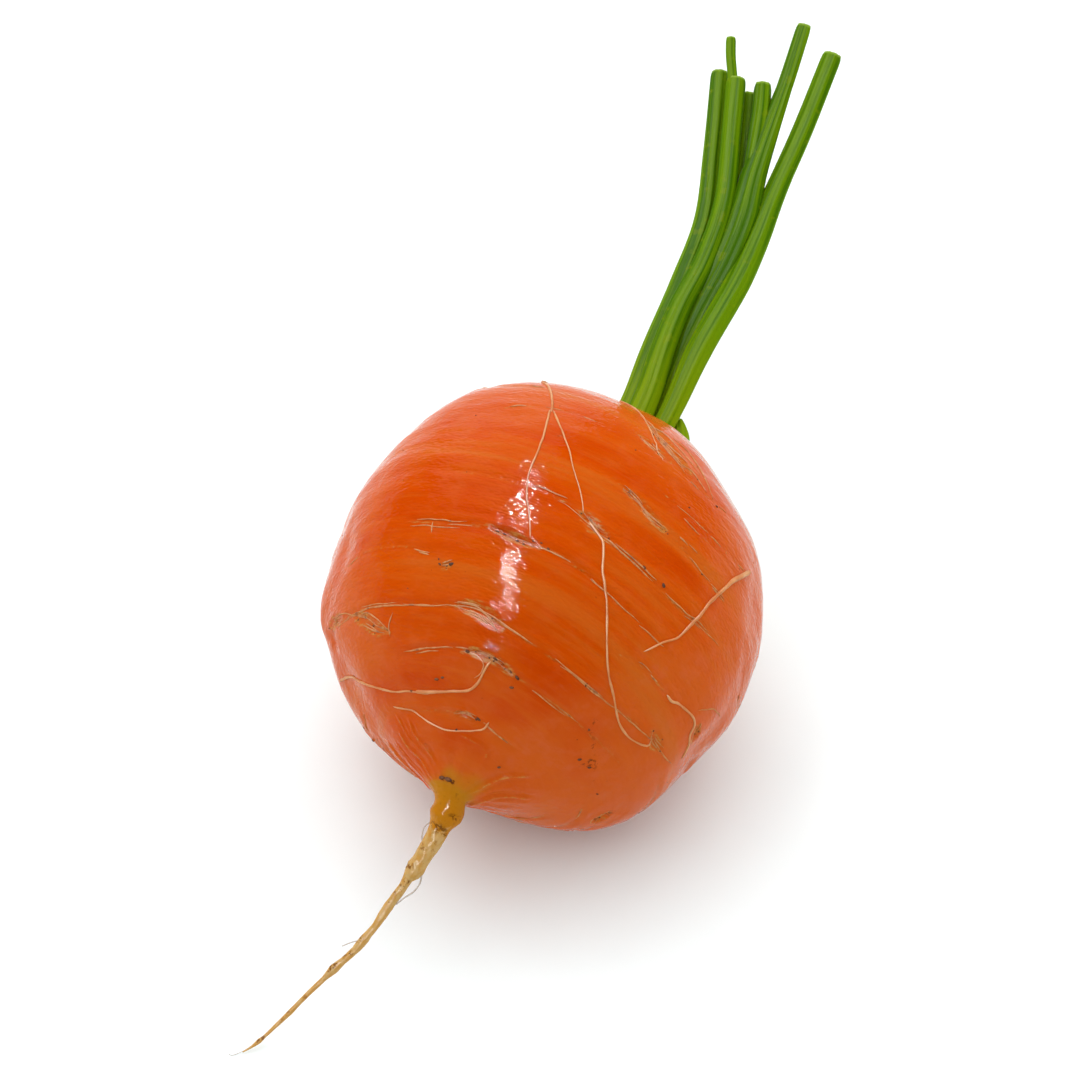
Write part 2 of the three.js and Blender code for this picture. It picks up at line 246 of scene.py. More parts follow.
STALKS = {
    "left": (0.9, [(24.6, 1.5), (38, 1.35), (50, 1.3), (62, 1.15), (76.3, 1.05)], [(24.6, -2, -0.7),
        (31, -2.1, -0.7), (38, -2.8, -0.7), (48, -3.2, -0.6), (57, -3.9, -0.6), (66, -6.5, -0.5),
        (76.3, -9.8, -0.3)]),
    "middle": (0.85, [(24.6, 1.7), (38, 1.5), (50, 1.3), (60, 1.2), (75.2, 1.2)], [(24.6, 0, 0.9),
        (31, -0.3, 0.8), (38, -1.2, 0.8), (44, -1.6, 0.8), (51, -1.3, 0.9), (59, -2.1, 1), (68, -4.8, 1.1),
        (75.2, -7.1, 1.1)]),
    "right": (0.8, [(24.6, 1.25), (31, 1.35), (39, 1.6), (50, 1.65), (58, 1.5), (66, 1.3), (82.6, 1.22)],
        [(24.6, 3, 0.5), (31, 3.1, 0.6), (39, 2.9, 0.6), (50, 3.5, 0.2), (56, 3.4, -0.1), (63, 3, -0.2),
        (72, 3, -0.2), (82.6, 2.8, 0)]),
    "back": (0.9, [(24.6, 1.4), (50, 1.25), (75.2, 1.2)], [(24.6, -0.3, -2.4), (31, -0.5, -2.5),
        (40, -0.8, -2.5), (50, -0.6, -2.1), (58, -0.8, -1.6), (66, -2.6, -1.4), (75.2, -5.5, -1.3)]),
    "forked": (0.62, [(24.6, 1.5), (38, 1.5), (45, 1.9), (52, 2.1), (59, 2.05), (65, 1.6), (71, 1.25),
        (76, 1), (84.6, 0.93)], [(24.6, 1.3, -1), (31, 1, -1), (38, 0.4, -1), (45, 0.4, -0.6), (52, 0.9, 0),
        (58, 0.7, 0.3), (64, -0.2, 0.6), (71, -0.7, 0.9), (77, -1.1, 0.9), (84.6, -1.8, 0.9)]),
}
SHORT_ARM = (1.0, [(57, 0.4), (64, 0.9), (70, 1.15), (75.7, 1.08)], [(57, -0.2, -0.5), (62, -0.5, 0),
    (67, -1.4, 0.6), (71.5, -2.4, 0.8), (75.7, -3.7, 0.9)])
TORN_STRAND = (1.0, [(73, 0.7), (76, 0.6), (79.8, 0.62)], [(73, -6.6, 1.1), (75.6, -7.8, 1.3),
    (77.8, -8.9, 1.5), (79.8, -9.7, 1.6)])
LEAF_BASE_STUB = (0.8, [(23.6, 1.2), (26.5, 1.3), (28, 1.1), (30.3, 0.5)], [(23.6, 5.4, -0.5),
    (25.8, 5.7, -0.5), (28, 5.3, -0.6), (30.3, 4.1, -0.7)])


# ---- curves and frames ----

def to_row_frame(points):
    """Points of the root's own frame, in mm, as metres in the row's frame."""
    dip = math.radians(AXIS_DIP)
    x, y, z = np.asarray(points, float).T
    up = y * math.sin(dip) + z * math.cos(dip) + CENTRE_HEIGHT
    return MM * np.stack([x, y * math.cos(dip) - z * math.sin(dip), up], axis=1)


def direction(latitude, longitude):
    latitude = np.radians(latitude)
    longitude = np.radians(longitude)
    around = np.cos(latitude)
    forward = np.sin(latitude) + 0 * longitude
    return np.stack([around * np.sin(longitude), forward, around * np.cos(longitude)], axis=-1)


def places_of(rays):
    """The rays' latitudes and longitudes."""
    return np.degrees(np.arcsin(np.clip(rays[:, 1], -1, 1))), np.degrees(np.arctan2(rays[:, 0], rays[:, 2]))


def angle_from(rays, latitude, longitude):
    """The degrees between each ray and a place."""
    return np.degrees(np.arccos(np.clip(rays @ direction(latitude, longitude), -1, 1)))


def unit(vectors):
    return vectors / np.linalg.norm(vectors, axis=-1, keepdims=True)


def bell(distance, width, power=2):
    return np.exp(-np.abs(distance / width) ** power)


def ease(low, high, value):
    """0 below low, 1 above high, and a smooth step between them."""
    part = np.clip((value - low) / (high - low), 0, 1)
    return part * part * (3 - 2 * part)


def fade(along, margin):
    """1 along the middle of a line, easing to 0 at both its ends."""
    return ease(0, margin, along) * ease(0, margin, 1 - along)


LATTICE = 4096


def noise(points, seed):
    """Smooth noise between -1 and 1 at each point, with one knot of a random lattice per unit."""
    lattice = np.random.default_rng(seed).uniform(-1, 1, LATTICE)
    cell = np.floor(points).astype(np.int64)
    part = points - cell
    part = part * part * (3 - 2 * part)
    total = np.zeros(len(points))
    for corner in itertools.product((0, 1), repeat=3):
        knot = cell + np.array(corner)
        entry = (knot[:, 0] * 73856093 ^ knot[:, 1] * 19349663 ^ knot[:, 2] * 83492791) % LATTICE
        total += lattice[entry] * np.prod(np.where(np.array(corner) == 1, part, 1 - part), axis=1)
    return total


def hermite(start, leave, end, arrive, at):
    """The cubic curve from start to end with those tangents, at fractions of the way."""
    return (start * (2 * at**3 - 3 * at**2 + 1) + end * (3 * at**2 - 2 * at**3)
            + leave * (at**3 - 2 * at**2 + at) + arrive * (at**3 - at**2))


def smooth_line(points, steps):
    """A centripetal Catmull-Rom curve through the points, as steps + 1 points an equal distance apart."""
    points = np.asarray(points, float)
    points = np.vstack([2 * points[0] - points[1], points, 2 * points[-1] - points[-2]])
    gaps = np.sqrt(np.linalg.norm(np.diff(points, axis=0), axis=1))
    moves = np.diff(points, axis=0)
    at = np.linspace(0, 1, 24, endpoint=False)[:, None]
    curve = []
    for k in range(1, len(points) - 2):
        before, here, after = gaps[k - 1:k + 2]
        leave = moves[k - 1] / before - (moves[k - 1] + moves[k]) / (before + here) + moves[k] / here
        arrive = moves[k] / here - (moves[k] + moves[k + 1]) / (here + after) + moves[k + 1] / after
        curve.append(hermite(points[k], here * leave, points[k + 1], here * arrive, at))
    curve = np.vstack(curve + [points[-2:-1]])
    length = np.concatenate([[0], np.cumsum(np.linalg.norm(np.diff(curve, axis=0), axis=1))])
    even = np.linspace(0, length[-1], steps + 1)
    return np.stack([np.interp(even, length, column) for column in curve.T], axis=1)


def length_of(line):
    return np.linalg.norm(np.diff(line, axis=0), axis=1).sum()


def frames_along(line, up):
    """Unit tangents, and two unit sides at right angles to them, turned along the line without twist."""
    tangents = unit(np.gradient(line, axis=0))
    ups = []
    for tangent in tangents:
        up = unit(up - tangent * np.dot(up, tangent))
        ups.append(up)
    ups = np.array(ups)
    return tangents, ups, np.cross(ups, tangents)


# ---- the skin of the swollen root ----

def lumps_at(rays, lumps):
    """What swellings and hollows add to the radius along each ray, in mm."""
    return sum(height * bell(angle_from(rays, latitude, longitude), spread)
               for latitude, longitude, spread, height in lumps)


def skin_radius(rays):
    latitude, longitude = places_of(rays)
    around = np.hypot(rays[:, 0], rays[:, 2])
    end_radius = np.where(rays[:, 1] > 0, CROWN_RADIUS, TAIL_RADIUS)
    radius = 1 / np.hypot(around / GIRTH_RADIUS, rays[:, 1] / end_radius)
    radius += LOBE_HEIGHT * around**2 * np.cos(np.radians(3 * (longitude - LOBE_LONGITUDE)))
    radius += lumps_at(rays, LUMPS)
    radius -= DIMPLE_DEPTH * bell(90 - latitude, DIMPLE_HALF_ANGLE, 4)
    radius -= TAIL_SHOULDER_DEPTH * bell(latitude - TAIL_SHOULDER, TAIL_SHOULDER_HALF_ANGLE)
    return radius + FLARE_HEIGHT * bell(latitude + 90, FLARE_HALF_ANGLE)


def skin_line(places, spacing=0.3):
    """A smooth line over places on the skin, as unit rays from the root's middle about the spacing apart."""
    knots = GIRTH_RADIUS * np.array([direction(*place) for place in places])
    steps = max(4, round(length_of(knots) / spacing))
    return unit(smooth_line(knots, steps))


def nearest(rays, line, reach):
    """How far each ray is from a line of rays, in mm of skin, how far along the line, from 0 to 1, it is
    nearest to, and its side (1 towards the crown). Rays out of reach are left far away."""
    away = np.full(len(rays), 1e3)
    along = np.zeros(len(rays))
    side = np.zeros(len(rays))
    margin = reach / GIRTH_RADIUS
    close = np.flatnonzero(np.all((rays > line.min(0) - margin) & (rays < line.max(0) + margin), axis=1))
    if len(close):
        gaps = np.linalg.norm(rays[close, None] - line[None], axis=2)
        best = gaps.argmin(axis=1)
        away[close] = GIRTH_RADIUS * gaps[np.arange(len(close)), best]
        along[close] = best / (len(line) - 1)
        side[close] = np.sign(rays[close, 1] - line[best, 1])
    return away, along, side


def hidden_lines():
    """More growth rings round the sides that the listed ones leave bare, in the same form."""
    random = np.random.default_rng(11)
    lines = []
    for latitude in (58, 47, 36, 24, 13, 4, -6, -15, -25, -33, -44, -55, -66):
        for start in (92, 190):
            first = start + random.uniform(0, 30)
            last = first + random.uniform(35, 75)
            middle = latitude + random.uniform(-4, 4)
            places = [(middle + random.uniform(-0.9, 0.9), longitude)
                      for longitude in np.linspace(first, last, 6)]
            lines.append((random.uniform(0.25, 0.4), random.uniform(0.14, 0.28), places))
    return lines


def hidden_scars():
    """More scars on the sides that the listed ones leave bare, in the same form."""
    random = np.random.default_rng(12)
    scars = []
    for _ in range(13):
        latitude = random.uniform(-60, 50)
        longitude = random.uniform(105, 250)
        span = random.uniform(5, 12) / math.cos(math.radians(latitude))
        bow = random.uniform(-1, 1)
        places = [(latitude + bow * (1 - abs(part)), longitude + span * part / 2) for part in (-1, 0, 1)]
        scars.append((random.uniform(0.4, 0.8), random.uniform(0.2, 0.35), places))
    return scars


def with_rays(features):
    """Each line, scar or fold with its places as a smooth line of rays."""
    return [(half_width, depth, skin_line(places)) for half_width, depth, places in features]


ALL_RING_LINES = with_rays(RING_LINES + hidden_lines())
ALL_SCARS = with_rays(SCARS + hidden_scars())
ALL_FOLDS = with_rays(FOLDS)


def groove(half_width, depth, away, along, side, flecks):
    """A groove with a raised edge on the crown's side: what it adds in height, how corky and how soiled."""
    strength = fade(along, 0.1) * (0.35 + 0.65 * flecks)
    edge = 0.45 * bell(away - 2.1 * half_width, half_width) * (side > 0)
    return (depth * strength * (edge - bell(away, half_width)),
            0.7 * strength * bell(away, 0.55 * half_width),
            0.45 * strength * flecks * bell(away, 0.4 * half_width))


def scar(half_width, depth, away, along, side, flecks):
    """A lens-shaped pit with a raised rim, as groove() gives it."""
    lens = np.sqrt(np.clip(4 * along * (1 - along), 0.02, 1))
    edge = half_width * lens
    pit = bell(away, edge, 3)
    rim = bell(away - 0.95 * edge, 0.3 * half_width)
    return (depth * lens * (0.5 * bell(away - 1.3 * edge, 0.5 * half_width) - pit),
            (0.3 + 0.6 * flecks) * np.maximum(rim, 0.55 * pit),
            2.4 * depth * bell(away, 0.45 * edge) * flecks)


def fold(half_width, rise, away, along, side, flecks):
    """A ridge in a shallow groove, as groove() gives it."""
    strength = fade(along, 0.15)
    return (rise * strength * (bell(away, half_width) - 0.6 * bell(away - 2 * half_width, half_width)),
            0.5 * strength * bell(away, 0.8 * half_width), 0)


def ripples(rays):
    """Ripples round the whole root, pleats round the tail root's neck and ribs round the crown, in mm."""
    latitude, longitude = places_of(rays)
    longitude = np.radians(longitude)
    body = ease(-88, -80, latitude) * ease(88, 80, latitude)
    rough = 0.1 * noise(rays * [4, 11, 4], 2) + 0.05 * noise(rays * [6, 26, 6], 3)
    rough += 0.016 * noise(rays * [9, 60, 9], 4)
    wobble = 2 * noise(rays * 3, 5)
    pleats = np.sin(13 * longitude + 2 * wobble) + 0.6 * np.sin(22 * longitude - 3 * wobble)
    ribs = 0.6 * np.sin(9 * longitude + wobble) + 0.4 * np.sin(17 * longitude)
    return body * rough + 0.04 * bell(latitude + 78, 8) * pleats + 0.22 * bell(latitude - 77, 5) * ribs


def relief(rays):
    """What the skin's small shapes add to its radius, in mm, and where it is corky and where it is soiled."""
    flecks = 0.5 + 0.5 * noise(rays * [14, 60, 14], 1)
    smears = 0.4 + 0.6 * noise(rays * 40, 6)
    height = lumps_at(rays, SMALL_LUMPS) + ripples(rays)
    cork, soil = np.zeros((2, len(rays)))
    for shape, reach, features in ((groove, 6, ALL_RING_LINES), (scar, 5, ALL_SCARS), (fold, 5, ALL_FOLDS)):
        for half_width, depth, line in features:
            near = nearest(rays, line, reach * half_width)
            added, corky, soiled = shape(half_width, depth, *near, flecks)
            height += added
            cork = np.maximum(cork, corky)
            soil = np.maximum(soil, soiled)
    for latitude, longitude, spread, strength in SMUDGES:
        soil = np.maximum(soil, strength * bell(angle_from(rays, latitude, longitude), spread) * smears)
    return height, cork, soil


def on_skin(rays, lift=0):
    return rays * (skin_radius(rays) + relief(rays)[0] + lift)[:, None]


# ---- meshes ----

def make_piece(name, points, faces, material, replaced=None, masks=None):
    """A shown piece from points in the root's frame and faces that list them, with a value per point for each
    mask. What would reach into the floor is pressed flat."""
    mesh = bpy.data.meshes.new(name)
    points = to_row_frame(points)
    points[:, 2] = np.maximum(points[:, 2], 0)
    mesh.from_pydata(points.tolist(), [], faces)
    mesh.polygons.foreach_set("use_smooth", [True] * len(mesh.polygons))
    for mask, values in (masks or {}).items():
        kind, field = ("FLOAT_VECTOR", "vector") if np.ndim(values) == 2 else ("FLOAT", "value")
        mesh.attributes.new(mask, kind, "POINT").data.foreach_set(field, np.ravel(values))
    mesh.materials.append(material)
    piece = bpy.data.objects.new(name, mesh)
    bpy.context.scene.collection.objects.link(piece)
    if replaced:
        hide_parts(replaced)
    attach(piece, "root")


def join_rings(rings, sides, start=0):
    """Faces between rings of points numbered from start, facing out when each ring turns right-handed."""
    side = np.arange(sides)
    following = (side + 1) % sides
    here = start + sides * np.arange(rings - 1)[:, None]
    there = here + sides
    quads = np.stack([here + side, here + following, there + following, there + side], axis=-1)
    return quads.reshape(-1, 4).tolist()


def fan(start, sides, point, turned=False):
    """Triangles from a ring of points numbered from start to one point, which close its far end, or its near
    end if turned."""
    faces = [[start + side, start + (side + 1) % sides, point] for side in range(sides)]
    return [face[::-1] for face in faces] if turned else faces


def tube(line, half_widths, sides, up, shape=None):
    """A closed rod along a line. shape, if given, is each ring's outline as factors of its half width.
    Returns its points, its faces, and each point's turn round the rod and fraction of its length."""
    _, ups, across = frames_along(line, np.asarray(up, float))
    turns = np.linspace(0, 2 * np.pi, sides, endpoint=False)
    parts = np.linspace(0, 1, len(line))
    factors = np.ones((len(line), sides)) if shape is None else shape(turns, parts[:, None])
    reach = (np.asarray(half_widths)[:, None] * factors)[:, :, None]
    out = np.cos(turns)[:, None] * ups[:, None] + np.sin(turns)[:, None] * across[:, None]
    points = np.vstack([(line[:, None] + reach * out).reshape(-1, 3), line[:1], line[-1:]])
    count = sides * len(line)
    faces = join_rings(len(line), sides) + fan(0, sides, count, True) + fan(count - sides, sides, count + 1)
    turn = np.concatenate([np.tile(turns, len(line)), [0, 0]])
    return points, faces, turn, np.concatenate([np.repeat(parts, sides), [0, 1]])


def joined(parts):
    """Several (points, faces, ...) as one, with any further arrays laid end to end."""
    count = 0
    faces = []
    for part in parts:
        faces += [[count + point for point in face] for face in part[1]]
        count += len(part[0])
    rest = [np.concatenate(column) for column in list(zip(*parts))[2:]]
    return [np.vstack([part[0] for part in parts]), faces, *rest]


# ---- node materials ----

def add_node(tree, kind, inputs, output=0, **settings):
    """A node with its settings, and its inputs linked or set. Returns one of its outputs."""
    made = tree.nodes.new("ShaderNode" + kind)
    for setting, value in settings.items():
        setattr(made, setting, value)
    for socket, value in inputs.items():
        if isinstance(value, bpy.types.NodeSocket):
            tree.links.new(value, made.inputs[socket])
        elif made.inputs[socket].type == "RGBA":
            made.inputs[socket].default_value = (*value, 1)
        else:
            made.inputs[socket].default_value = value
    return made.outputs[output]


class Look:
    """A node material with one Principled shader, and short ways to add and link its nodes."""

    def __init__(self, name, **shader):
        self.material = bpy.data.materials.new(name)
        self.material.use_nodes = True
        self.tree = self.material.node_tree
        self.shader = self.tree.nodes["Principled BSDF"]
        for socket, value in shader.items():
            self.shader.inputs[socket.replace("_", " ")].default_value = value

    def node(self, kind, inputs, output=0, **settings):
        return add_node(self.tree, kind, inputs, output, **settings)

    def link(self, socket, value):
        self.tree.links.new(value, self.shader.inputs[socket])

    def place(self):
        """The point in the root's own frame, in mm."""
        inputs = {"Vector": self.node("TexCoord", {}, "Object"), "Location": (0, 0, CENTRE_HEIGHT * MM),
                  "Rotation": (math.radians(AXIS_DIP), 0, 0), "Scale": (MM, MM, MM)}
        return self.node("Mapping", inputs, vector_type="TEXTURE")

    def stretched(self, vector, scale):
        return self.node("Mapping", {"Vector": vector, "Scale": scale})

    def distance(self, vector, point):
        return self.node("VectorMath", {0: vector, 1: point}, "Value", operation="DISTANCE")

    def noise(self, vector, scale, detail=3.0, roughness=0.55):
        inputs = {"Vector": vector, "Scale": scale, "Detail": detail, "Roughness": roughness}
        return self.node("TexNoise", inputs)

    def mask(self, name):
        return self.node("Attribute", {}, "Fac", attribute_name=name)

    def range(self, value, low, high, to_low=0.0, to_high=1.0):
        inputs = {"Value": value, "From Min": low, "From Max": high, "To Min": to_low, "To Max": to_high}
        return self.node("MapRange", inputs, interpolation_type="SMOOTHSTEP")

    def maths(self, operation, *values):
        return self.node("Math", dict(enumerate(values)), operation=operation)

    def mix(self, first, *layers):
        """The first colour under layers of (cover from 0 to 1, colour)."""
        for cover, colour in layers:
            first = self.node("Mix", {0: cover, 6: first, 7: colour}, 2, data_type="RGBA")
        return first

    def bump(self, height, strength, distance, normal=None):
        inputs = {"Height": height, "Strength": strength, "Distance": distance}
        return self.node("Bump", inputs | ({"Normal": normal} if normal else {}))


DEEP_ORANGE = (0.47, 0.044, 0.0002)
ORANGE = (0.51, 0.062, 0.0003)
WARM_PALE = (0.52, 0.094, 0.008)
ROSY = (0.52, 0.094, 0.022)
CROWN_AMBER = (0.48, 0.135, 0.001)
TAN_PALE = (0.48, 0.122, 0.014)
CORK = (0.42, 0.13, 0.014)
CORK_PALE = (0.48, 0.20, 0.045)
SOIL = (0.085, 0.022, 0.002)
AMBER = (0.42, 0.155, 0.006)
STRAW = (0.46, 0.25, 0.06)
STRAW_PALE = (0.50, 0.32, 0.12)
SCAB = (0.24, 0.085, 0.006)
SPECKLE = (0.30, 0.045, 0.004)
TAIL_DIRT = (0.16, 0.055, 0.006)
STALK_DARK = (0.042, 0.122, 0.0002)
STALK_GREEN = (0.112, 0.218, 0.0003)
STALK_PALE = (0.15, 0.26, 0.0004)
STALK_FOOT = (0.18, 0.25, 0.0006)
STALK_BLOTCH = (0.20, 0.25, 0.002)
PITH = (0.25, 0.36, 0.05)

# Near where the skin faces the camera. The paleness that grows away from it is painted rim sheen, mixed with
# the skin's own patches.
SHEEN_FREE_MIDDLE = tuple(25 * direction(-16.0, 2.0))  # the middle of the skin's deepest orange
CROWN = (1.0, 26.0, 0.0)


def flesh_colour(look, place):
    """Bands and streaks round the root, deepest orange in a broad patch on the upper side near where it faces
    the camera, and paler towards the crown and the flanks: painted rim sheen mixed with the skin's own
    patches of tone. Amber round the crown."""
    ringed = look.stretched(place, (0.07, 1.0, 0.07))
    bands = look.noise(ringed, 0.3, 3)
    streaks = look.noise(ringed, 1.3, 3)
    fine_streaks = look.noise(ringed, 5.0, 2)
    patches = look.noise(place, 0.09, 2)
    mottling = look.noise(place, 0.45, 4, 0.6)
    speckle = look.noise(place, 1.9, 3, 0.6)
    # Painted rim sheen: paler with distance from the middle that faces the camera, broken up by patches of
    # the skin's own tone.
    from_sheen_free_middle = look.maths("ADD", look.distance(place, SHEEN_FREE_MIDDLE), look.range(patches, 0.3, 0.7, -9, 9))
    paleness_and_rim_sheen = look.range(from_sheen_free_middle, 8, 34)
    # Rosy mottling, which the painted rim sheen spreads wider towards the rim.
    rosy = look.maths("MULTIPLY", look.range(mottling, 0.45, 0.7), look.range(paleness_and_rim_sheen, 0, 1, 0.15, 0.6))
    from_crown = look.maths("ADD", look.distance(place, CROWN), look.range(mottling, 0.3, 0.7, -2.5, 2.5))
    return look.mix(
        DEEP_ORANGE,
        (look.range(bands, 0.36, 0.64), ORANGE),
        (look.maths("MULTIPLY", paleness_and_rim_sheen, 0.75), WARM_PALE),
        (rosy, ROSY),
        (look.range(streaks, 0.5, 0.72, 0, 0.4), WARM_PALE),
        (look.range(fine_streaks, 0.56, 0.74, 0, 0.22), ROSY),
        (look.range(bands, 0.56, 0.72, 0, 0.4), TAN_PALE),
        (look.range(from_crown, 13, 6, 0, 0.75), CROWN_AMBER),
        (look.range(speckle, 0.7, 0.76, 0, 0.55), SPECKLE),
    )


def tail_colour(look, place, tail):
    """Amber at the tail root's neck and straw below it, with brown spots."""
    streaks = look.noise(look.stretched(place, (1.4, 0.4, 1.4)), 1.1, 4, 0.6)
    spots = look.noise(place, 1.3, 3)
    straw = look.mix(STRAW, (look.range(streaks, 0.35, 0.65), STRAW_PALE))
    along = look.maths("ADD", tail, look.range(streaks, 0.3, 0.7, -0.02, 0.02))
    spotted = look.range(spots, 0.6, 0.7, 0, 0.6)
    return look.mix(AMBER, (look.range(along, 0.16, 0.21), straw), (spotted, SCAB))


def carrot_skin():
    look = Look("carrot_skin", IOR=1.33, Specular_IOR_Level=0.055, Subsurface_Weight=0.1,
                Subsurface_Scale=0.0015, Subsurface_Radius=(1.0, 0.35, 0.1))
    place = look.place()
    tail = look.mask("tail")
    fibres = look.noise(look.stretched(place, (0.5, 2.2, 0.5)), 1.6, 4, 0.65)
    cork = look.maths("MULTIPLY", look.mask("cork"), look.range(fibres, 0.3, 0.6, 0.1, 1.4))
    crumbly = look.range(look.noise(place, 2.2, 4, 0.65), 0.42, 0.6, 0, 1.6)
    soil = look.maths("MULTIPLY", look.mask("soil"), crumbly)
    look.link("Base Color", look.mix(
        flesh_colour(look, place),
        (look.range(cork, 0.15, 0.85), look.mix(CORK, (look.range(fibres, 0.45, 0.65), CORK_PALE))),
        (look.range(tail, 0.005, 0.1), tail_colour(look, place, tail)),
        (look.range(soil, 0.25, 0.8, 0, 0.9), look.mix(SOIL, (look.range(tail, 0.12, 0.17), TAIL_DIRT))),
    ))
    rough = look.range(look.noise(place, 0.9, 3), 0.35, 0.65, 0.04, 0.08)
    rough = look.maths("ADD", rough, look.range(cork, 0, 1, 0, 0.3))
    look.link("Roughness", look.maths("ADD", rough, look.range(tail, 0, 0.3, 0, 0.2)))
    waves = look.bump(look.noise(look.stretched(place, (0.5, 1.0, 0.5)), 0.55, 2), 0.3, 0.0006)
    grain = look.bump(look.noise(look.stretched(place, (0.6, 1.4, 0.6)), 2.6, 0), 0.64, 0.00009, waves)
    lines = look.bump(look.noise(look.stretched(place, (0.1, 1.0, 0.1)), 1.3, 3), 0.12, 0.0003, grain)
    look.link("Normal", look.bump(look.maths("MULTIPLY", look.mask("cork"), fibres), 0.6, 0.0003, lines))
    return look.material


def grainy(name, patches, colours, grain, bump, spots=(), **shader):
    """A dry material: patches of two colours, any spots, as (noise, low, high, cover, colour), and a raised
    grain. Each noise is a scale and a detail."""
    look = Look(name, IOR=1.4, **shader)
    place = look.place()
    colour = look.mix(colours[0], (look.range(look.noise(place, *patches), 0.35, 0.65), colours[1]))
    for noise_settings, low, high, cover, tint in spots:
        colour = look.mix(colour, (look.range(look.noise(place, *noise_settings), low, high, 0, cover), tint))
    look.link("Base Color", colour)
    look.link("Normal", look.bump(look.noise(place, *grain), *bump))
    return look.material


def side_root_skin():
    return grainy("side_root_skin", (0.35, 3), ((0.50, 0.15, 0.025), (0.58, 0.26, 0.09)), (3.0, 3),
                  (0.4, 0.0001), [((3.0, 3), 0.6, 0.75, 0.5, (0.30, 0.11, 0.02))], Roughness=0.5,
                  Specular_IOR_Level=0.3)


def hair_skin():
    return grainy("hair_skin", (2.0, 3), ((0.30, 0.24, 0.18), (0.40, 0.34, 0.28)), (2.0, 3),
                  (0.4, 0.00005), Roughness=0.6, Specular_IOR_Level=0.3)


def cork_crust():
    return grainy("cork_crust", (1.5, 4), ((0.45, 0.13, 0.018), (0.50, 0.21, 0.055)), (1.5, 4),
                  (0.6, 0.0001), [((0.8, 2), 0.6, 0.7, 0.7, (0.2, 0.07, 0.02))], Roughness=0.7,
                  Specular_IOR_Level=0.2)


def soil_crumb():
    return grainy("soil_crumb", (2.5, 3), ((0.07, 0.020, 0.004), (0.17, 0.055, 0.010)), (2.5, 3),
                  (0.7, 0.0001), Roughness=0.85, Specular_IOR_Level=0.1)


def stalk_green():
    look = Look("stalk_green", IOR=1.3, Specular_IOR_Level=0.03, Subsurface_Weight=0.1,
                Subsurface_Scale=0.001, Subsurface_Radius=(0.5, 1.0, 0.1))
    grain = look.node("Attribute", {}, "Vector", attribute_name="grain")
    stripes = look.noise(look.stretched(grain, (1.3, 1.3, 0.03)), 1.0, 3, 0.55)
    fine = look.noise(look.stretched(grain, (5.0, 5.0, 0.09)), 1.0, 3, 0.6)
    foot = look.range(look.mask("height_on_stalk"), 0, 22, 1, 0)
    look.link("Base Color", look.mix(
        STALK_DARK,
        (look.range(stripes, 0.38, 0.62), STALK_GREEN),
        (look.range(fine, 0.5, 0.7, 0, 0.45), STALK_PALE),
        (look.maths("MULTIPLY", foot, look.range(stripes, 0.3, 0.65, 0.2, 0.8)), STALK_FOOT),
        (look.range(look.noise(look.place(), 0.5, 3), 0.6, 0.7, 0, 0.3), STALK_BLOTCH),
        (look.mask("pith"), PITH),
    ))
    look.link("Roughness", look.range(fine, 0.3, 0.7, 0.35, 0.5))
    look.link("Normal", look.bump(fine, 0.5, 0.00015))
    return look.material


# ---- the root ----

def body_rays():
    """Rays through the swollen root's rings, from the neck of the tail root to just short of the crown."""
    latitudes = np.linspace(NECK_LATITUDE, 90, BODY_RINGS, endpoint=False)
    longitudes = np.linspace(0, 360, BODY_SIDES, endpoint=False)
    latitude, longitude = np.meshgrid(latitudes, longitudes, indexing="ij")
    return direction(latitude, longitude).reshape(-1, 3)


def tail_frame():
    """Points along the tail root's middle, with their unit tangents and unit sides up and to the right."""
    line = smooth_line(TAIL_LINE, TAIL_LINE_STEPS)
    return (line, *frames_along(line, np.array([0.0, 0, 1])))


def tail_rings():
    """The tail root's rings from its neck to its tip, their points in step with the body's longitudes, and
    each ring's fraction of the tail root's length."""
    fractions = np.linspace(NECK_FRACTION, 1, TAIL_STEPS)
    line, _, ups, across = tail_frame()
    at = fractions * (len(line) - 1)
    centres, ups, across = (
        np.stack([np.interp(at, np.arange(len(line)), column) for column in values.T], axis=1)
        for values in (line, ups, across)
    )
    turns = np.radians(np.linspace(0, 360, TAIL_SIDES, endpoint=False))
    places, widths, shifts = zip(*TAIL_SHAPE)
    width = np.interp(fractions, places, widths)
    centres = centres + np.interp(fractions, places, shifts)[:, None] * across
    knobs = np.stack([np.tile(3 * np.cos(turns), TAIL_STEPS), np.tile(3 * np.sin(turns), TAIL_STEPS),
                      np.repeat(fractions * 30, TAIL_SIDES)], axis=1)
    rough = 0.08 * noise(knobs * [0.5, 0.5, 0.7], 21) + 0.06 * noise(knobs * [1, 1, 1.9], 22)
    rough += 0.03 * noise(knobs * [0.6, 0.6, 6], 23)
    settled = ease(NECK_FRACTION, NECK_FRACTION + 0.05, fractions)[:, None]
    reach = width[:, None] * (1 + settled * rough.reshape(TAIL_STEPS, TAIL_SIDES))
    out = np.sin(turns)[:, None] * across[:, None] + np.cos(turns)[:, None] * ups[:, None]
    return centres[:, None] + reach[:, :, None] * out, fractions


def tail_scabs(fractions):
    """How brown each point of the tail root's rings is."""
    full = length_of(np.array(TAIL_LINE, float))
    turns = np.linspace(0, 360, TAIL_SIDES, endpoint=False)
    brown = np.zeros((len(fractions), TAIL_SIDES))
    for fraction, turn, half_length, strength in TAIL_SCABS:
        along = bell((fractions - fraction) * full, half_length)
        round_it = bell((turns - turn + 180) % 360 - 180, 55)
        brown = np.maximum(brown, strength * along[:, None] * round_it)
    return brown.ravel()


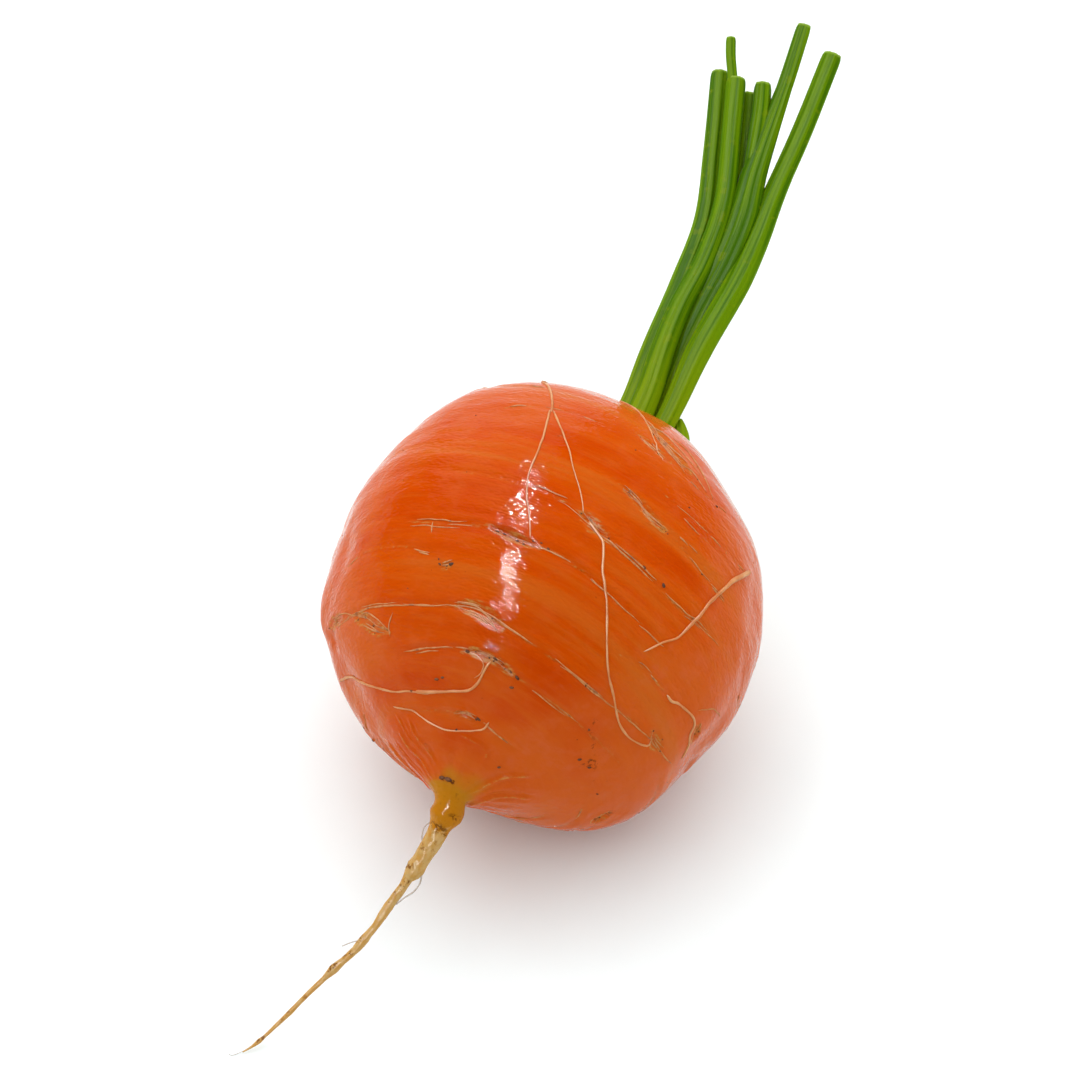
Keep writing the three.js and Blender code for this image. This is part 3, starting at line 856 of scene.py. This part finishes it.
def collar(rays):
    """How much each point of the swollen root has the tail root's colour: a ragged collar round its neck."""
    latitude, longitude = places_of(rays)
    reach = -84 + 3.5 * bell(longitude - 45, 50) + 2 * noise(rays * 14, 24)
    return ease(reach + 4, reach - 4, latitude)


def neck_rings(body_rings, rings):
    """Rings that carry the body's lowest ring smoothly into the tail root's first."""
    start = body_rings[0, ::NECK_STRIDE]
    end = rings[0]
    span = np.linalg.norm(end - start, axis=1, keepdims=True)
    leaving = unit(start - body_rings[3, ::NECK_STRIDE]) * span
    arriving = unit(rings[1] - rings[0]) * span
    at = np.linspace(0, 1, NECK_STEPS + 2)[1:-1, None, None]
    return hermite(start, leaving, end, arriving, at)


def neck_faces(start):
    """Faces from the body's lowest ring to the neck's first, which has fewer points, numbered from start."""
    faces = []
    for side in range(TAIL_SIDES):
        middle = side * NECK_STRIDE
        for part in range(-NECK_STRIDE // 2, NECK_STRIDE // 2):
            first = (middle + part) % BODY_SIDES
            faces.append([start + side, (first + 1) % BODY_SIDES, first])
        last = (middle + NECK_STRIDE // 2) % BODY_SIDES
        faces.append([start + side, start + (side + 1) % TAIL_SIDES, last])
    return faces


def taproot(material):
    rays = body_rays()
    height, cork, soil = relief(rays)
    body = (rays * (skin_radius(rays) + height)[:, None]).reshape(BODY_RINGS, BODY_SIDES, 3)
    rings, fractions = tail_rings()
    neck = neck_rings(body, rings)
    tail = np.concatenate([neck, rings])
    crown = on_skin(direction(np.array([90.0]), np.array([0.0])))
    points = np.vstack([body.reshape(-1, 3), tail.reshape(-1, 3), crown, rings[-1].mean(0)[None]])
    body_count = BODY_RINGS * BODY_SIDES
    count = body_count + len(tail) * TAIL_SIDES
    faces = join_rings(BODY_RINGS, BODY_SIDES) + fan(body_count - BODY_SIDES, BODY_SIDES, count)
    faces += neck_faces(body_count)
    faces += [quad[::-1] for quad in join_rings(len(tail), TAIL_SIDES, body_count)]
    faces += fan(count - TAIL_SIDES, TAIL_SIDES, count + 1, True)
    on_tail = np.concatenate([np.linspace(0.092, 0.12, NECK_STEPS), fractions])
    masks = {
        "cork": np.concatenate([cork, np.zeros(len(tail) * TAIL_SIDES), [0, 0]]),
        "soil": np.concatenate([soil, np.zeros(len(neck) * TAIL_SIDES), tail_scabs(fractions), [0, 0]]),
        "tail": np.concatenate([0.085 * collar(rays), np.repeat(on_tail, TAIL_SIDES), [0, 1]]),
    }
    make_piece("carrot_root", points, faces, material, "taproot", masks)


def side_root(name, start_width, end_width, places, material):
    rays = skin_line(places, 0.35)
    random = np.random.default_rng(len(name) * 31 + len(places))
    wander = np.array([noise(rays * 22 + random.uniform(0, 9), 31 + k) for k in range(3)]).T
    rays = unit(rays + 0.0016 * wander)
    part = np.linspace(0, 1, len(rays))
    ends = np.sqrt(ease(0, 0.02, part) * ease(0, 0.03, 1 - part) + 0.04)
    widths = SIDE_ROOT_FINENESS * (start_width + (end_width - start_width) * part)
    widths = widths * (1 + 0.25 * noise(rays * 30, 34)) * ends
    line = on_skin(rays) + rays * (0.35 * widths)[:, None]
    points, faces, _, _ = tube(line, widths, 8, rays[0])
    make_piece(name, points, faces, material)


def strand(random, rays, first, last, shift, width):
    """A thread of cork beside a line, between two fractions of it, in a list, or none if it is too short."""
    start = int(first * len(rays))
    rays = rays[start:max(int(last * len(rays)), start + 6)]
    if len(rays) < 5:
        return []
    drift = shift / GIRTH_RADIUS + 0.006 * noise(rays * 16 + random.uniform(0, 20), 42)
    rays = unit(rays + drift[:, None] * np.array([0, 1, 0]))
    part = np.linspace(0, 1, len(rays))
    widths = width * np.sqrt(np.clip(4 * part * (1 - part), 0.05, 1)) * (1 + 0.3 * noise(rays * 60, 43))
    return [tube(on_skin(rays, 0.02), widths, 5, rays[0])[:2]]


def crust(material):
    """Threads of cork beside the growth rings, over the scars and, as listed, alone."""
    random = np.random.default_rng(41)
    parts = []
    for half_width, _, rays in ALL_RING_LINES:
        for _ in range(round(len(rays) / 18)):
            first = random.uniform(0.02, 0.9)
            parts += strand(random, rays, first, first + random.uniform(0.06, 0.22),
                            random.normal(0, half_width * 0.6), random.uniform(0.05, 0.11))
    for half_width, _, rays in ALL_SCARS:
        for _ in range(7):
            first = random.uniform(0, 0.5)
            parts += strand(random, rays, first, first + random.uniform(0.3, 0.6),
                            random.uniform(-1, 1) * half_width * 0.9, random.uniform(0.05, 0.1))
    for places in STRANDS:
        parts += strand(random, skin_line(places, 0.25), 0, 1, 0, 0.09)
    points, faces = joined(parts)
    make_piece("cork_strands", points, faces, material)


def crumb(latitude, longitude, size, turn):
    """A small rounded lump of soil at a place on the skin."""
    out = direction(latitude, longitude)
    east = unit(np.cross([0, 1, 0], out))
    long_way = math.cos(turn) * east + math.sin(turn) * np.cross(out, east)
    part = np.linspace(-1, 1, 7)
    line = on_skin(out[None])[0] + part[:, None] * long_way * size * 1.6
    points, faces, _, _ = tube(line, size * np.sqrt(np.clip(1 - part**2, 0.05, 1)), 7, out)
    return points + 0.3 * size * noise(points * 6, 51)[:, None] * out, faces


def soil_crumbs(material):
    """The listed crumbs, three in each scar, and specks all over."""
    random = np.random.default_rng(52)
    crumbs = [crumb(*row) for row in CRUMBS]
    for _, _, line in ALL_SCARS:
        for _ in range(3):
            x, y, z = line[random.integers(len(line))]
            latitude = math.degrees(math.asin(y)) + random.normal(0, 0.8)
            longitude = math.degrees(math.atan2(x, z)) + random.normal(0, 2)
            crumbs.append(crumb(latitude, longitude, random.uniform(0.06, 0.13), random.uniform(-1, 1)))
    for _ in range(40):
        latitude = math.degrees(math.asin(random.uniform(-0.95, 0.8)))
        longitude = random.uniform(-180, 180)
        crumbs.append(crumb(latitude, longitude, random.uniform(0.03, 0.07), random.uniform(-1.5, 1.5)))
    points, faces = joined(crumbs)
    make_piece("soil_crumbs", points, faces, material)


def tail_hairs(material):
    """Fine hairs that leave the tail root, some of them to rejoin it lower down."""
    line, tangents, _, across = tail_frame()
    full = length_of(line)
    for name, (half_width, places) in TAIL_HAIRS.items():
        knots = []
        for fraction, aside in places:
            index = min(len(line) - 1, round(fraction * (len(line) - 1)))
            beyond = max(0, fraction - 1) * full
            knots.append(line[index] + aside * across[index] + beyond * tangents[index])
        curve = smooth_line(knots, 26)
        points, faces, _, _ = tube(curve, half_width * np.linspace(1, 0.75, len(curve)), 8, (0, 0, 1))
        make_piece("tail_hair_" + name, points, faces, material)


# ---- the leaf stalks ----

def bundle_line(points):
    """The bundle bends upwards, so a stalk's heights are measured from a curve."""
    return [(across, along, above + BUNDLE_BEND * (along - BUNDLE_START) ** 2)
            for along, across, above in points]


def stalk_shape(seed, depth):
    """Outline factors for a stalk: soft ribs along it on a rounded, slightly flattened section."""
    random = np.random.default_rng(seed)
    phases = random.uniform(0, 2 * np.pi, 3)

    def shape(turns, fraction):
        ribs = 0.04 * np.cos(7 * turns + phases[0]) + 0.025 * np.cos(12 * turns + phases[1] + 2 * fraction)
        return (1 + ribs) / np.hypot(np.cos(turns) / depth, np.sin(turns))

    return shape


def stalk_tube(depth, half_widths, points, seed, steps=STALK_STEPS):
    line = smooth_line(bundle_line(points), steps)
    width = np.interp(line[:, 1], *zip(*half_widths))
    width[-3:] *= 1 - 0.12 * np.array([0.1, 0.4, 1])
    return tube(line, width, STALK_SIDES, (0, 0, 1), stalk_shape(seed, depth))


def leaf_piece(node, seed, parts, material):
    """A leaf stalk's piece. Its grain runs round and along it, and the pith shows on its cut."""
    points, faces, turn, fraction = joined(parts)
    along = points[:, 1] - BUNDLE_START
    masks = {
        "grain": np.stack([np.cos(turn) + 7 * seed, np.sin(turn), along], axis=1),
        "height_on_stalk": along,
        "pith": (fraction >= CUT_FRACTION).astype(float),
    }
    make_piece(node + "_skin", points, faces, material, node, masks)


def leaf_stalks(material):
    for seed, (name, (depth, half_widths, line)) in enumerate(STALKS.items(), start=61):
        foot = (BUNDLE_START - FOOT_DEPTH, *line[0][1:])
        parts = [stalk_tube(depth, half_widths, [foot, *line], seed)]
        if name == "forked":
            parts.append(stalk_tube(*SHORT_ARM, seed + 20, 50))
        if name == "middle":
            parts.append(stalk_tube(*TORN_STRAND, seed + 20, 30))
        leaf_piece("leaf_stalk_" + name, seed, parts, material)
    leaf_piece("leaf_base_stub", 90, [stalk_tube(*LEAF_BASE_STUB, 90, 30)], material)


# ---- stage ----

VIEW_AZIMUTH = math.radians(24.4)
VIEW_ELEVATION = math.radians(50)
VIEW_DISTANCE = 500
VIEW_LENS = 142.9
VIEW_SHIFT = (-0.47, 7.81)  # of the view's middle from the root's, right and up

# Lights: direction (right, up and back in the camera's view), distance in mm, size in m, power in W, and
# whether it only lights (diffuse) or only reflects (glossy). The strip makes the chain of glints.
LIGHTS = {
    "key": ((-0.1, 0.6, 0.8), 700, (0.9, 0.9), 3.3, "diffuse"),
    "strip": ((-0.3, 0.42, 0.87), 600, (0.012, 1.1), 74, "glossy"),
    "top_glow": ((-0.3, 0.95, -0.1), 900, (1.6, 0.8), 8, "glossy"),
}
STUDIO_FAR = 1.58  # how bright the studio is behind the object, and on the camera's side
STUDIO_NEAR = 0.37
FLOOR_DARK = (0.83, 0.9, 0.905)
FLOOR_LIGHT = (0.85, 0.92, 0.925)


def view_axes():
    """The camera's right, up and back directions."""
    back = np.array([math.sin(VIEW_AZIMUTH) * math.cos(VIEW_ELEVATION),
                     -math.cos(VIEW_AZIMUTH) * math.cos(VIEW_ELEVATION), math.sin(VIEW_ELEVATION)])
    right = np.array([math.cos(VIEW_AZIMUTH), math.sin(VIEW_AZIMUTH), 0])
    return right, np.cross(back, right), back


def aim(thing, place, right, up, back):
    """Puts a camera or light at a place in mm, looking against back."""
    turned = Matrix([[*row] for row in np.stack([right, up, back], axis=1)]).to_4x4()
    thing.matrix_world = Matrix.Translation((MM * place).tolist()) @ turned


def add_camera():
    camera = bpy.data.objects.new("camera", bpy.data.cameras.new("camera"))
    bpy.context.scene.collection.objects.link(camera)
    camera.data.lens = VIEW_LENS
    camera.data.sensor_width = 36
    camera.data.clip_start = 0.01
    camera.data.clip_end = 10
    right, up, back = view_axes()
    middle = np.array([0, 0, CENTRE_HEIGHT]) + VIEW_SHIFT[0] * right + VIEW_SHIFT[1] * up
    aim(camera, middle + VIEW_DISTANCE * back, right, up, back)
    bpy.context.scene.camera = camera


def add_light(name, towards, distance, size, power, shows_in):
    light = bpy.data.objects.new(name, bpy.data.lights.new(name, "AREA"))
    bpy.context.scene.collection.objects.link(light)
    light.data.shape = "RECTANGLE"
    light.data.size, light.data.size_y = size
    light.data.energy = power
    light.visible_diffuse = shows_in == "diffuse"
    light.visible_glossy = shows_in == "glossy"
    axes = view_axes()
    back = unit(sum(part * axis for part, axis in zip(towards, axes)))
    right = unit(np.cross(axes[1], back))
    aim(light, np.array([0, 0, CENTRE_HEIGHT]) + distance * back, right, np.cross(back, right), back)


def add_floor():
    half = 3
    low = -0.02 * MM
    corners = [(-half, -half, low), (half, -half, low), (half, half, low), (-half, half, low)]
    mesh = bpy.data.meshes.new("floor")
    mesh.from_pydata(corners, [], [(0, 1, 2, 3)])
    look = Look("pale_floor", Roughness=0.9, Specular_IOR_Level=0.1)
    grain = look.noise(look.node("TexCoord", {}, "Object"), 40, 3)
    look.link("Base Color", look.mix(FLOOR_DARK, (look.range(grain, 0.3, 0.7), FLOOR_LIGHT)))
    mesh.materials.append(look.material)
    floor = bpy.data.objects.new("floor", mesh)
    bpy.context.scene.collection.objects.link(floor)


def add_surroundings():
    """A white studio, darker on the camera's side. It lights the root and leaves its gloss to the lights."""
    world = bpy.data.worlds.new("studio")
    bpy.context.scene.world = world
    world.use_nodes = True
    world.cycles_visibility.glossy = False
    tree = world.node_tree
    inputs = {0: add_node(tree, "TexCoord", {}, "Generated"), 1: view_axes()[2].tolist()}
    facing = add_node(tree, "VectorMath", inputs, "Value", operation="DOT_PRODUCT")
    inputs = {"Value": facing, "From Min": 0.3, "From Max": 0.9, "To Min": STUDIO_FAR, "To Max": STUDIO_NEAR}
    level = add_node(tree, "MapRange", inputs, interpolation_type="SMOOTHSTEP")
    tree.links.new(level, tree.nodes["Background"].inputs["Strength"])
    tree.nodes["Background"].inputs["Color"].default_value = (1, 1, 1, 1)


def set_stage():
    add_surroundings()
    add_floor()
    add_camera()
    for name, settings in LIGHTS.items():
        add_light(name, *settings)
    bpy.context.scene.view_settings.view_transform = "Standard"


set_stage()
taproot(carrot_skin())
root_look = side_root_skin()
for root_name, (thick, thin, root_places) in SIDE_ROOTS.items():
    side_root("side_root_" + root_name, thick, thin, root_places, root_look)
crust(cork_crust())
soil_crumbs(soil_crumb())
tail_hairs(hair_skin())
leaf_stalks(stalk_green())
